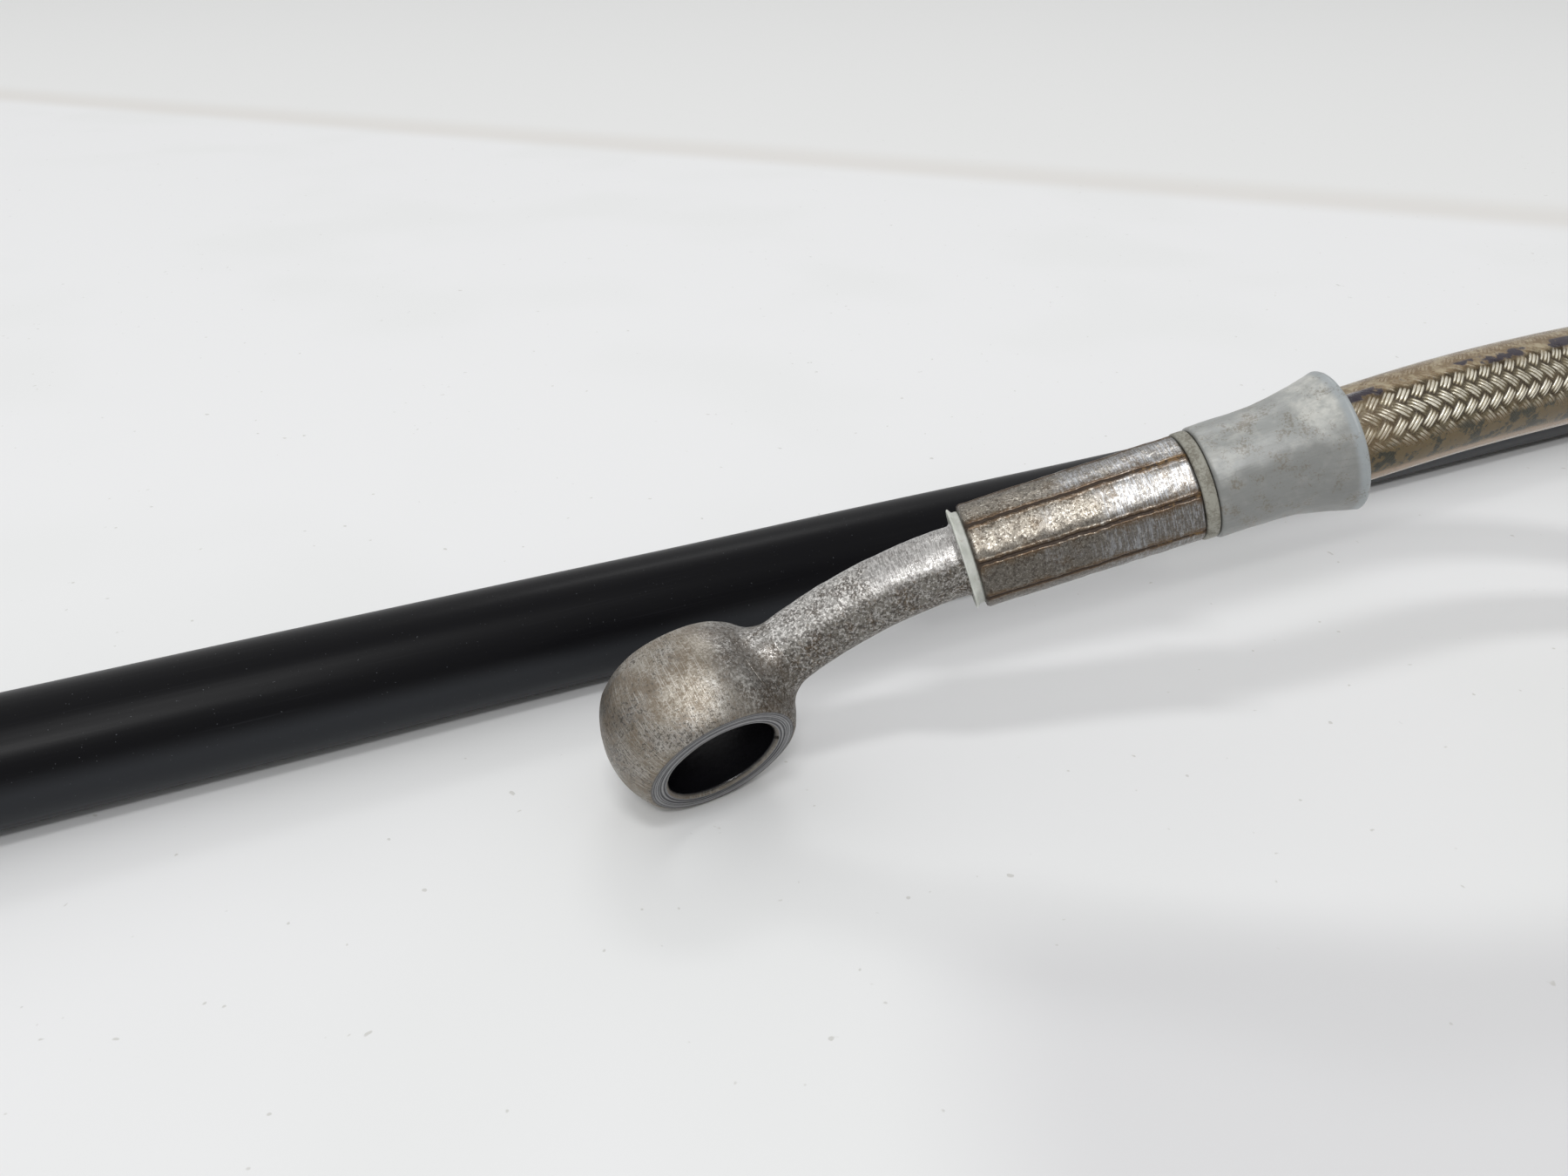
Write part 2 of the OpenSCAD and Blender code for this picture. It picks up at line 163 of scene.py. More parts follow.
def gridPiece(name, slot, points, uv=None, caps=False, marks=None):
    # A grid of points, in millimetres, as one closed skin of four-sided faces. Its columns close on
    # themselves. So do its rows, unless caps close the two open ends with fans.
    rows, columns = points.shape[:2]
    i, j = [x.ravel() for x in np.meshgrid(np.arange(rows - caps), np.arange(columns), indexing='ij')]
    nextI, nextJ = (i + 1) % rows, (j + 1) % columns
    quads = np.stack([i * columns + j, nextI * columns + j, nextI * columns + nextJ, i * columns + nextJ], 1)
    corner = np.stack([np.stack(k, 1) for k in ((i, j), (i + 1, j), (i + 1, j + 1), (i, j + 1))], 1)
    verts = points.reshape(-1, 3)
    fans = []
    if caps:
        ring = np.arange(columns)
        after = np.roll(ring, -1)
        last = (rows - 1) * columns
        verts = np.vstack([verts, points[0].mean(0), points[-1].mean(0)])
        fans = [np.stack([np.full(columns, rows * columns), ring, after], 1),
                np.stack([np.full(columns, rows * columns + 1), last + after, last + ring], 1)]
    a, b, c, d = verts[quads].swapaxes(0, 1)
    volume = (np.cross(a, b) * c).sum() + (np.cross(a, c) * d).sum()
    for fan in fans:
        a, b, c = verts[fan].swapaxes(0, 1)
        volume += (np.cross(a, b) * c).sum()
    if volume < 0:
        quads, corner, fans = quads[:, ::-1], corner[:, ::-1], [fan[:, ::-1] for fan in fans]
    faces = quads.tolist() + [face for fan in fans for face in fan.tolist()]
    mesh = bpy.data.meshes.new(name)
    mesh.from_pydata((verts * mm).tolist(), [], faces)
    mesh.polygons.foreach_set('use_smooth', np.ones(len(faces), bool))
    if uv is not None:
        flat = np.zeros((len(mesh.loops), 2))
        flat[:quads.size] = uv[corner[..., 0], corner[..., 1]].reshape(-1, 2)
        mesh.uv_layers.new(name='surface').data.foreach_set('uv', flat.ravel())
    for mark, values in (marks or {}).items():
        held = np.zeros(len(verts), np.float32)
        held[:rows * columns] = np.broadcast_to(values, (rows, columns)).ravel()
        mesh.attributes.new(mark, 'FLOAT', 'POINT').data.foreach_set('value', held)
    normals = np.empty(len(verts) * 3, np.float32)
    mesh.vertices.foreach_get('normal', normals)
    mesh.attributes.new('upward', 'FLOAT', 'POINT').data.foreach_set('value', normals[2::3].copy())
    mesh.validate()
    mesh.materials.append(finishes[slot])
    return inScene(name, mesh)


def carried(piece, body, slot, *nodes):
    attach(piece, body)
    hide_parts(*nodes)


class Flow:
    # One socket of a material or world, on which sums are written as plain maths
    def __init__(self, owner, socket=None):
        self.owner = owner
        self.socket = socket

    def node(self, kind, inputs=None, output=0, **settings):
        tree = self.owner.node_tree
        made = tree.nodes.new('ShaderNode' + kind)
        for name, value in settings.items():
            setattr(made, name, value)
        for name, value in (inputs or {}).items():
            if isinstance(value, Flow):
                tree.links.new(value.socket, made.inputs[name])
            else:
                made.inputs[name].default_value = value
        return Flow(self.owner, made.outputs[output] if len(made.outputs) else None)

    def math(self, operation, *values):
        return self.node('Math', dict(enumerate(values)), operation=operation)

    def __add__(self, other):
        return self.math('ADD', self, other)

    def __sub__(self, other):
        return self.math('SUBTRACT', self, other)

    def __rsub__(self, other):
        return self.math('SUBTRACT', other, self)

    def __mul__(self, other):
        return self.math('MULTIPLY', self, other)

    __radd__, __rmul__ = __add__, __mul__

    def __truediv__(self, other):
        return self.math('DIVIDE', self, other)

    def __mod__(self, other):
        return self.math('FLOORED_MODULO', self, other)

    def __lt__(self, other):
        return self.math('LESS_THAN', self, other)

    def fit(self, low, high, toLow=0.0, toHigh=1.0, ease='SMOOTHSTEP'):
        # This value, carried from one range to another and held inside it
        return self.node('MapRange', {'Value': self, 'From Min': low, 'From Max': high,
                                      'To Min': toLow, 'To Max': toHigh}, interpolation_type=ease)

    def noise(self, size, detail=2.0, rough=0.5, shift=0.0, stretch=(1, 1, 1)):
        # Noise from 0 to 1 with grains of about that size, in millimetres, on this vector
        spread = self.node('VectorMath', {0: self, 1: [1 / (size * k) for k in stretch],
                                          2: (shift, shift * 0.7, shift * 1.3)}, operation='MULTIPLY_ADD')
        return self.node('TexNoise', {'Vector': spread, 'Scale': 1.0, 'Detail': detail, 'Roughness': rough})

    def paint(self, base, *layers):
        # A base colour with others laid over it in turn, each by a share from 0 to 1
        below = base if isinstance(base, Flow) else (*base, 1)
        for shade, share in layers:
            above = shade if isinstance(shade, Flow) else (*shade, 1)
            below = self.node('Mix', {0: share, 6: below, 7: above}, 2, data_type='RGBA')
        return below

    def mark(self, name):
        # A number that the mesh itself carries at each of its points
        return self.node('Attribute', {}, 2, attribute_name=name)

    def unrolled(self):
        # The place on the piece's own skin, round it and along it
        return self.node('UVMap', uv_map='surface')

    def part(self, axis):
        return self.node('SeparateXYZ', {0: self}, axis)

    def bump(self, distance, strength=1.0):
        # This height, from 0 to 1, as a relief that many millimetres deep
        return self.node('Bump', {'Height': self, 'Distance': distance * mm, 'Strength': strength})


def emptied(owner):
    # A flow to start the nodes of a new material or world from
    owner.use_nodes = True
    owner.node_tree.nodes.clear()
    return Flow(owner)


def newFinish(name):
    # A new material's first flow, and the place on the piece in millimetres
    flow = emptied(bpy.data.materials.new(name))
    place = flow.node('TexCoord', {}, 3)
    return flow, flow.node('VectorMath', {0: place, 'Scale': 1 / mm}, operation='SCALE')


def surface(flow, sockets):
    # The shader, with its sockets by name, and the output: this finishes the material
    flow.node('OutputMaterial', {'Surface': flow.node('BsdfPrincipled', sockets)})
    return flow.owner


def underShade(place, cloud):
    # From 0 on top to 1 below, with an uneven edge between: painted shade on the side that faces down
    return (place.mark('upward') + (cloud - 0.5) * 0.5).fit(0.30, 0.72, 1.0, 0.0)


steelLook = {'clean': (0.56, 0.545, 0.52), 'brown': (0.135, 0.095, 0.058),
             'dark': (0.045, 0.038, 0.034), 'white': (0.92, 0.90, 0.87)}


def speckled(place):
    # Bare steel worn to a salt and pepper of white, black and brown grains.
    # Gives its colour, its roughness and its height.
    salt = place.noise(0.24, 4, 0.8, 1.0)
    pepper = place.noise(0.34, 4, 0.8, 9.0)
    cloud = place.noise(1.9, 3, 0.6, 2.2)
    brown = (place.noise(0.32, 3, 0.7, 4.0) * 0.55 + cloud * 0.6).fit(0.56, 0.70)
    black = (pepper * 0.8 + cloud * 0.25).fit(0.49, 0.56)
    white = salt.fit(0.51, 0.57)
    under = underShade(place, cloud)
    # Painted shade: towards the bottom the steel is painted darker and browner, with fewer white grains
    colour = place.paint(
        (0.42, 0.41, 0.39),
        ((0.14, 0.128, 0.108), under * 0.85),
        (steelLook['brown'], brown * (0.5 + under * 0.3)),
        (steelLook['dark'], black * (0.62 + under * 0.05)),
        (steelLook['white'], white * (0.85 - under * 0.52)))
    return colour, 0.36 - white * 0.10 + black * 0.16 + under * 0.08, salt * 0.6 + pepper * 0.4


def forgedSteel():
    # Blasted barrel: tan grey, polished in fine lines across its width, with brown dirt in the pores.
    # Its flat faces carry lathe rings, and towards the neck it turns grainy.
    flow, place = newFinish('forgedSteel')
    face, bore, grain, spin = [flow.mark(name) for name in ('face', 'bore', 'grain', 'spin')]
    pores = place.noise(0.30, 4, 0.85)
    cloud = place.noise(2.4, 3, 0.6, 1.7)
    patches = place.noise(5.0, 2, 0.5, 9.2)
    strokes = flow.unrolled().noise(0.11, 2, 0.65, 4.0, (1, 14, 1))
    scratches = flow.unrolled().noise(0.10, 2, 0.6, 7.7, (1, 24, 1)).fit(0.55, 0.66)
    rings = flow.node('TexNoise', {'W': spin * 6.0, 'Scale': 1.0, 'Detail': 3.0}, noise_dimensions='1D')
    turned = place.paint((0.07, 0.07, 0.075), ((0.30, 0.30, 0.305), rings.fit(0.42, 0.62)))
    dirt = (pores * 0.8 + cloud * 0.5).fit(0.64, 0.70)
    dark = ((1 - pores) * 0.9 + patches * 0.3).fit(0.62, 0.69)
    rubbedAndSheen = (strokes * 0.22 + pores * 0.45 + patches * 0.45).fit(0.53, 0.64)
    grains, grainRough, grainHeight = speckled(place)
    share = (grain + (cloud - 0.5) * 0.9).fit(0.2, 0.8, 0.24, 1.0)
    colour = place.paint(
        (0.33, 0.295, 0.24),
        (steelLook['clean'], rubbedAndSheen * 0.7),
        # Painted shade: a little darker towards the bottom
        ((0.13, 0.118, 0.105), underShade(place, cloud) * 0.2),
        (grains, share),
        ((0.145, 0.108, 0.07), dirt * (1 - grain * 0.6) * 0.75),
        (steelLook['dark'], dark * (1 - grain) * 0.7),
        ((0.80, 0.78, 0.74), scratches * (1 - grain) * 0.28),
        ((0.07, 0.055, 0.04), grain * cloud.fit(0.32, 0.58) * 0.6),
        (turned, face),
        # Painted shade: the bore's wall is painted near-black and not metallic
        ((0.004, 0.004, 0.005), bore))
    rough = (0.43 + pores * 0.12 - rubbedAndSheen * 0.08) * (1 - share) + grainRough * share
    relief = (pores * 0.8 + strokes * 0.2) * (1 - share) + grainHeight * share
    return surface(flow, {
        'Base Color': colour, 'Metallic': (1 - dirt * 0.35) * (1 - bore),
        'Roughness': rough * (1 - bore) + bore * 0.12,
        'Normal': (relief * (1 - face) + rings * face * 0.3).bump(0.045)})


def neckSteel():
    # Plated tube worn grainy, with short scratches round it towards the washer
    flow, place = newFinish('neckSteel')
    colour, rough, height = speckled(place)
    hatch = flow.unrolled().noise(0.08, 2, 0.65, 1.0, (9, 1, 1))
    worn = (flow.mark('far') + (place.noise(2.5, 2, 0.5, 6.0) - 0.5) * 0.9).fit(0.35, 0.75)
    under = underShade(place, place.noise(1.9, 3, 0.6, 2.2))
    smoother = place.paint((0.62, 0.61, 0.60), ((0.16, 0.15, 0.145), hatch.fit(0.42, 0.60) * 0.8))
    return surface(flow, {
        # The pale worn steel is held to the top: painted shade keeps the underside darker
        'Base Color': place.paint(colour, (smoother, worn * (1 - under) * 0.6)),
        'Metallic': 0.92, 'Roughness': rough - worn * 0.04,
        'Normal': (height * 0.8 + hatch * worn * 0.6).bump(0.022)})


def ferruleSteel():
    # Crimped shell: brown-grey panels, smoother and cooler towards the hose, with dark dirt and rust
    # along the crimp marks
    flow, place = newFinish('ferruleSteel')
    crimp, beside, far = [flow.mark(name) for name in ('crimp', 'beside', 'far')]
    grains = place.noise(0.28, 3, 0.85, 6.0)
    cloud = place.noise(1.8, 3, 0.6, 4.4)
    broad = place.noise(5.0, 2, 0.5, 8.8)
    hatch = flow.unrolled().noise(0.11, 2, 0.65, 2.0, (11, 1, 1))
    ragged = place.noise(0.4, 3, 0.65, 3.3)
    smoother = (far + (broad - 0.5) * 1.1).fit(0.45, 0.7)
    brown = (cloud * 0.6 + grains * 0.45 + beside * 0.2).fit(0.54, 0.68)
    black = (grains * 0.8 + ragged * 0.25).fit(0.51, 0.59) * (1 - smoother * 0.6)
    white = place.noise(0.20, 3, 0.8, 13.0).fit(0.53, 0.63)
    soot = (crimp * 0.8 + beside * 0.25 + ragged * 0.35 + cloud * 0.2).fit(0.66, 0.90)
    rust = (beside * 0.45 + ragged * 0.6 + far * 0.3 + broad * 0.3).fit(1.16, 1.26)
    under = underShade(place, cloud)
    colour = place.paint(
        (0.235, 0.212, 0.178),
        ((0.25, 0.245, 0.245), smoother * 0.6),
        # Painted shade: darker towards the bottom, where the pale hatch and white grains also fade
        ((0.115, 0.104, 0.09), under * 0.75),
        ((0.44, 0.46, 0.49), hatch.fit(0.46, 0.62) * smoother * (0.8 - under * 0.35)),
        (steelLook['brown'], brown * 0.65),
        (steelLook['dark'], black * 0.62),
        ((0.70, 0.67, 0.60), white * (0.5 - under * 0.3)),
        ((0.11, 0.065, 0.035), (beside * cloud).fit(0.15, 0.6) * 0.7),
        ((0.035, 0.022, 0.014), soot * 0.9),
        ((0.25, 0.15, 0.06), rust * 0.6))
    return surface(flow, {
        'Base Color': colour, 'Metallic': 1 - soot.math('MAXIMUM', soot * 0.6, rust * 0.7),
        'Roughness': 0.33 + grains * 0.12 + soot * 0.2 - white * 0.1,
        'Normal': (grains * 0.6 + hatch * 0.3 + ragged * 0.2).bump(0.022)})


def washerNylon():
    # Milky plastic with small brown stains
    flow, place = newFinish('washerNylon')
    cloud = place.noise(1.2, 3, 0.6)
    stain = place.noise(0.35, 3, 0.6, 2.0).fit(0.58, 0.74)
    colour = place.paint(
        (0.47, 0.485, 0.44),
        ((0.56, 0.57, 0.53), cloud.fit(0.35, 0.65)),
        ((0.30, 0.25, 0.17), stain * 0.35))
    return surface(flow, {
        'Base Color': colour, 'Roughness': 0.42 + cloud * 0.15, 'Subsurface Weight': 0.35,
        'Subsurface Radius': (0.0012, 0.0013, 0.0011), 'Subsurface Scale': 0.4,
        'Normal': place.noise(0.12).bump(0.02, 0.5)})


def seatRubber():
    # Dull beige with dirt in it
    flow, place = newFinish('seatRubber')
    dirt = (place.noise(0.22, 3, 0.65) * 0.6 + place.noise(1.3, 2, 0.5, 3.0) * 0.5).fit(0.48, 0.66)
    return surface(flow, {
        'Base Color': place.paint((0.27, 0.265, 0.225), ((0.10, 0.085, 0.06), dirt * 0.6)),
        'Roughness': 0.55 + dirt * 0.2, 'Normal': place.noise(0.15, 3).bump(0.04, 0.8)})


def sleevePlastic():
    # Frosted grey plastic: soft mottling, brown flecks, a cool rim, painted shade towards the bottom and a
    # pale painted highlight on top of the flare
    flow, place = newFinish('sleevePlastic')
    rim = flow.mark('rim')
    mist = place.noise(3.2, 3, 0.55)
    patch = place.noise(0.9, 4, 0.65, 3.4)
    wipes = flow.unrolled().noise(0.22, 2, 0.6, 3.0, (1, 9, 1))
    fleck = (place.noise(0.22, 3, 0.75, 6.1) * 0.6 + place.noise(1.6, 2, 0.5, 7.0) * 0.5).fit(0.58, 0.70)
    bloom = (patch * 0.6 + mist * 0.5).fit(0.50, 0.70)
    # Painted highlight: the top of the flare is painted pale
    rubbedAndSheen = flow.mark('flare').fit(0.15, 0.7) * flow.mark('upward').fit(0.3, 0.75) \
        * (patch * 0.5 + mist * 0.5).fit(0.28, 0.66)
    colour = place.paint(
        (0.285, 0.295, 0.285),
        ((0.42, 0.42, 0.395), bloom * 0.65),
        ((0.21, 0.21, 0.195), wipes.fit(0.45, 0.75) * 0.4),
        # Painted shade: darker towards the bottom
        ((0.15, 0.152, 0.145), underShade(place, mist) * 0.6),
        ((0.34, 0.375, 0.395), rim * 0.6),
        ((0.66, 0.66, 0.615), rubbedAndSheen * (1 - rim) * 0.6),
        ((0.13, 0.10, 0.06), fleck * 0.55))
    relief = place.noise(0.14, 2, 0.6, 1.1) * 0.4 + wipes * 0.4 + patch * 0.8
    return surface(flow, {
        'Base Color': colour, 'Roughness': 0.30 + patch * 0.12, 'Subsurface Weight': 0.12,
        'Subsurface Radius': (0.0012, 0.0013, 0.0014), 'Subsurface Scale': 0.5,
        'Normal': relief.bump(0.03, 0.8)})


braidLook = {'rows': 18, 'cell': 1.13, 'wires': 3, 'phase': 1.43}


def braidSteel():
    # Two-over-two braid. The unrolled hose is cut in squares by both ways of strand; each strand
    # lies on top for two squares, then dives under for two. Three wires lie side by side in a strand.
    flow, place = newFinish('braidSteel')
    unrolled = flow.unrolled()
    row, cell = unrolled.part(0), unrolled.part(1)
    right, left = row + cell, row - cell
    rightAt, leftAt = right.math('FLOOR', right), left.math('FLOOR', left)
    rightIn, leftIn = right - rightAt, left - leftAt
    turn = (rightAt + leftAt) % 4.0
    onTop = turn < 1.5                                   # the strand that holds its right number
    acrossStrand = rightIn * onTop + leftIn * (1 - onTop)
    alongStrand = (leftIn * onTop + rightIn * (1 - onTop) + turn % 2.0) * 0.5
    hump = alongStrand * (1 - alongStrand) * 4
    edge = (acrossStrand * (1 - acrossStrand) * 4).fit(0.0, 0.6)
    wire = (acrossStrand * braidLook['wires']) % 1.0
    wireTop = wire * (1 - wire) * 4
    shine = place.noise(0.5, 2, 0.6)
    wear = place.noise(2.4, 2, 0.6, 5.0)
    depth = hump * edge
    # Painted light: the gaps between strands and wires are painted dark as shade, strand crowns lighter and
    # wire tops cream as painted highlights, and strands of the other way dimmer where the painted sheen is
    # weak
    colour = place.paint(
        (0.022, 0.016, 0.009),
        ((0.40, 0.345, 0.22), (depth * (0.3 + wireTop * 0.7)).fit(0.14, 0.75)),
        ((1.0, 0.96, 0.83), (depth * wireTop * (shine + 0.35)).fit(0.34, 0.60)),
        ((0.16, 0.14, 0.085), (1 - onTop) * (1.3 - shine * 1.6).fit(0.1, 0.9) * 0.6),
        ((0.20, 0.15, 0.08), wear.fit(0.52, 0.75) * 0.35))
    height = depth * (1 - flow.mark('raised')) * 0.8 + wireTop * depth * 0.28
    return surface(flow, {
        'Base Color': colour, 'Metallic': 0.15 + depth * 0.4,
        'Roughness': 0.26 + (1 - wireTop) * 0.2, 'Normal': height.bump(0.22)})


# Where the jacket is clear and where it has its blotches of ink, in degrees round it from the top;
# and how far it is hazy from the fitting
jacketLook = {'clearFrom': 21, 'clearTo': 78, 'ink': (3, 25), 'cloudedFrom': 114, 'hazyTo': 15.5}


def clearJacket():
    # Clear plastic over the braid: nearly unseen on one side, tan on the rest, and dark olive towards the
    # bottom with near-black patches there
    flow, place = newFinish('clearJacket')
    unrolled = flow.unrolled()
    angle = (((unrolled.part(0) - braidLook['phase']) / braidLook['rows'] + 0.5) % 1.0 - 0.5) * 360.0
    run = unrolled.part(1) * braidLook['cell']
    cloud = place.noise(1.6, 3, 0.6)
    fine = place.noise(0.55, 3, 0.7, 4.0)
    sway = (cloud - 0.5) * 44
    above = (jacketLook['clearFrom'] + sway - angle).fit(-7, 9)
    below = (angle - jacketLook['clearTo'] + sway * 0.6).fit(-6, 14)
    nearEnd = (jacketLook['hazyTo'] - run + sway * 0.06).fit(-1.5, 2.5) * 0.75
    haze = above.math('MAXIMUM', above, below)
    haze = haze.math('MAXIMUM', haze, nearEnd)
    inkFrom, inkTo = jacketLook['ink']
    ink = (place.noise(2.8, 2, 0.65, 11.0) * 0.8 + fine * 0.25).fit(0.52, 0.57) \
        * (angle - inkFrom).fit(0, 5) * (inkTo - angle).fit(0, 5)
    lowPatches = (fine * 0.45 + cloud * 0.65).fit(0.53, 0.61)
    colour = place.paint(
        (0.26, 0.185, 0.105),
        ((0.50, 0.43, 0.29), (fine * 0.5 + cloud * 0.5).fit(0.47, 0.60) * 0.7),
        ((0.105, 0.075, 0.032), below * 0.9),
        ((0.02, 0.022, 0.014), lowPatches * below * 0.9),
        ((0.33, 0.22, 0.13), (angle - jacketLook['cloudedFrom']).fit(0, 8) * 0.8),
        ((0.016, 0.015, 0.035), ink * 0.92))
    grazing = flow.node('LayerWeight', {'Blend': 0.28}, 1)
    cover = haze * (0.48 + cloud * 0.35) + below * 0.3 + grazing * 0.2 + ink * 0.5
    return surface(flow, {
        'Base Color': colour, 'Roughness': 0.18 + fine * 0.1, 'Specular IOR Level': 0.3,
        'Alpha': cover.fit(0.0, 1.0, 0.07, 0.93, 'LINEAR'),
        'Coat Weight': 0.12, 'Coat Roughness': 0.08, 'Normal': cloud.bump(0.04, 0.4)})


def guardBlack():
    # Glossy black tube with faint lengthwise streaks, greyer on its sides and underside as a painted
    # reflection of the floor, with a little dust
    flow, place = newFinish('guardBlack')
    streak = flow.unrolled().noise(0.16, 3, 0.65, 2.0, (1, 160, 1))
    broad = flow.unrolled().noise(0.8, 2, 0.5, 5.0, (1, 60, 1))
    dust = place.noise(0.18, 1, 0.5, 3.0).fit(0.76, 0.80)
    colour = place.paint(
        (0.004, 0.004, 0.005),
        ((0.018, 0.018, 0.021), streak.fit(0.6, 0.8) * 0.5),
        # Painted reflection: greyer where the skin faces sideways and down
        ((0.030, 0.032, 0.036), flow.mark('upward').fit(-0.05, 0.35, 1.0, 0.0) * 0.8),
        ((0.20, 0.21, 0.23), dust * 0.4))
    return surface(flow, {
        'Base Color': colour, 'Roughness': 0.30 + streak * 0.08 + broad.fit(0.45, 0.7) * 0.06,
        'Specular IOR Level': 0.10, 'Normal': (streak * 0.3 + broad * 0.7).bump(0.012, 0.5)})


def tieNylon():
    # Moulded black with a fine pebble
    flow, place = newFinish('tieNylon')
    pebble = place.noise(0.25)
    wear = place.noise(1.8, 3, 0.6, 2.0)
    colour = place.paint((0.012, 0.012, 0.013), ((0.035, 0.034, 0.034), wear.fit(0.5, 0.75)))
    return surface(flow, {
        'Base Color': colour, 'Roughness': 0.38 + pebble * 0.2, 'Normal': pebble.bump(0.02, 0.5)})


def linerPlastic():
    # Smooth white, a little uneven
    flow, place = newFinish('linerPlastic')
    cloud = place.noise(1.5, 3, 0.5)
    colour = place.paint((0.80, 0.80, 0.77), ((0.68, 0.66, 0.60), cloud.fit(0.45, 0.75)))
    return surface(flow, {
        'Base Color': colour, 'Roughness': 0.35 + cloud * 0.1, 'Normal': cloud.bump(0.02, 0.4)})


finishes = {
    'forged_steel': forgedSteel(), 'neck_steel': neckSteel(), 'ferrule_steel': ferruleSteel(),
    'washer_nylon': washerNylon(), 'seat_rubber': seatRubber(), 'sleeve_plastic': sleevePlastic(),
    'bare_braid': braidSteel(), 'hose_jacket': clearJacket(), 'guard_black': guardBlack(),
    'tie_nylon': tieNylon(), 'liner_ptfe': linerPlastic(),
}
print("finishes made:", len(finishes))

# The run's listed points, the coil's points and its ramp in degrees, then the two skins' grids
hose = {
    'hand': [(56.6, 6.25, 25), (60, 7.1, 25.7), (63.5, 8.1, 26.25), (67, 9.2, 26.65), (70.6, 10.5, 26.9),
             (74.2, 11.9, 27.05), (79, 13.6, 27.1), (85, 15.4, 26.9), (93, 16.9, 26), (102, 17.4, 24.3),
             (111, 16.8, 21.9), (120, 15.2, 19), (129, 13, 16), (138, 10.7, 13.1), (147, 8.5, 10.7),
             (156, 6.6, 8.6), (164, 5.2, 6.7), (171, 4.4, 5.3)],
    'turnPoints': 24, 'rampFrom': 125, 'rampLong': 115, 'routeStep': 0.5,
    'sides': 96, 'closeUp': 42, 'closeStep': 0.16, 'farStep': 2.6, 'easeOut': 3,
    'jacketSides': 64, 'jacketStep': 1.2, 'wall': 0.2, 'gap': 0.02, 'relief': 0.17,
}


def hoseRoute():
    # The same points as the frame's own hose: fitting, listed run, coil, turn-in, guard, fitting
    straightEnds = np.array([hoseAt, (hoseAt + straightTo) / 2, straightTo])
    fromA, fromB = [placed(end, neckLine(straightEnds)[0]) for end in layout['ends']]
    offLine = coilRadius + layout['coilSide']
    gap = layout['coilAhead'] - layout['guardLead']
    turnInRadius = (gap ** 2 / layout['coilSide'] + offLine + coilRadius) / 2
    turnIn = math.atan2(gap, turnInRadius - offLine)
    sweep = 360 + 90 + 90 + math.degrees(layout['guardHeading'] - turnIn)   # from -90, the entry
    count = int(hose['turnPoints'] * sweep / 360)
    angle = -90 + sweep * np.arange(count) / count
    drop = smooth((angle - hose['rampFrom']) / hose['rampLong'])
    turn = np.radians(angle)
    coil = coilMiddle + np.stack([coilRadius * np.cos(turn), coilRadius * np.sin(turn),
                                  layout['hose'] * (1 - drop)], 1)
    level = layout['guardLong'] + layout['guardLead']
    share = np.arange(layout['turnInSteps'], 0, -1)[:, None] / layout['turnInSteps']
    inward = guardFrom + level * guardWay + share * (lowTurn - guardFrom[2]) * upright \
        + turnInRadius * (np.sin(turnIn * share) * guardWay + (1 - np.cos(turnIn * share)) * guardAside)
    guarded = guardFrom + level * np.linspace(1, 0, layout['guardSteps'] + 1)[:, None] * guardWay
    return np.vstack([fromA, hose['hand'], coil, inward, guarded, fromB[::-1]])


def runLengths(points):
    return np.r_[0, np.cumsum(np.linalg.norm(np.diff(points, axis=0), axis=1))]


def splineThrough(knots, step):
    # A natural cubic spline through the knots, by their chord lengths, read at even steps
    chord = runLengths(knots)
    width = np.diff(chord)
    count = len(knots)
    system = np.eye(count)
    right = np.zeros((count, 3))
    inner = np.arange(1, count - 1)
    system[inner, inner - 1], system[inner, inner + 1] = width[:-1], width[1:]
    system[inner, inner] = 2 * (width[:-1] + width[1:])
    slope = np.diff(knots, axis=0) / width[:, None]
    right[inner] = 6 * (slope[1:] - slope[:-1])
    bend = np.linalg.solve(system, right)
    reads = np.linspace(0, chord[-1], int(chord[-1] / step) + 1)
    k = np.clip(np.searchsorted(chord, reads, side='right') - 1, 0, count - 2)
    t, h = (reads - chord[k])[:, None], width[k][:, None]
    a, b = bend[k], bend[k + 1]
    rest = h - t
    return (a * rest ** 3 + b * t ** 3) / (6 * h) + (knots[k] / h - a * h / 6) * rest \
        + (knots[k + 1] / h - b * h / 6) * t


class Path:
    # A dense line and its frame: up is the world's up laid square to the line, side is level
    def __init__(self, points):
        self.points = points
        self.length = runLengths(points)

    def read(self, values, distances):
        return np.stack([np.interp(distances, self.length, column) for column in values.T], 1)

    def at(self, distances):
        ahead = self.read(np.gradient(self.points, self.length, axis=0), distances)
        ahead /= np.linalg.norm(ahead, axis=1)[:, None]
        side = np.cross(ahead, upright)
        side /= np.linalg.norm(side, axis=1)[:, None]
        return self.read(self.points, distances), np.cross(side, ahead), side


def braidHeight(row, cell):
    # Height from 0 to 1 of a two-over-two braid at row (round the hose) and cell (along it):
    # a hump along the two squares where a strand lies on top, rounded off across the strand
    right, left = row + cell, row - cell
    turn = (np.floor(right) + np.floor(left)) % 4
    onTop = turn < 1.5
    across = np.where(onTop, right % 1, left % 1)
    along = (np.where(onTop, left % 1, right % 1) + turn % 2) / 2
    return (4 * along * (1 - along)) ** 0.8 * (0.35 + 0.65 * (4 * across * (1 - across)) ** 0.5)


def tubeSkin(name, slot, path, distances, sides, radiusAt, marks=None):
    # A tube round the path: each ring lies square to it, and its angle runs from up towards the side
    place, up, side = path.at(distances)
    turn = np.linspace(0, fullTurn, sides + 1)
    row, cell = np.meshgrid(turn / fullTurn * braidLook['rows'] + braidLook['phase'],
                            distances / braidLook['cell'])
    turn = turn[:-1, None]
    points = place[:, None] + radiusAt(row, cell)[:, :-1, None] \
        * (np.cos(turn) * up[:, None] + np.sin(turn) * side[:, None])
    return gridPiece(name, slot, points, np.stack([row, cell], -1), caps=True, marks=marks)


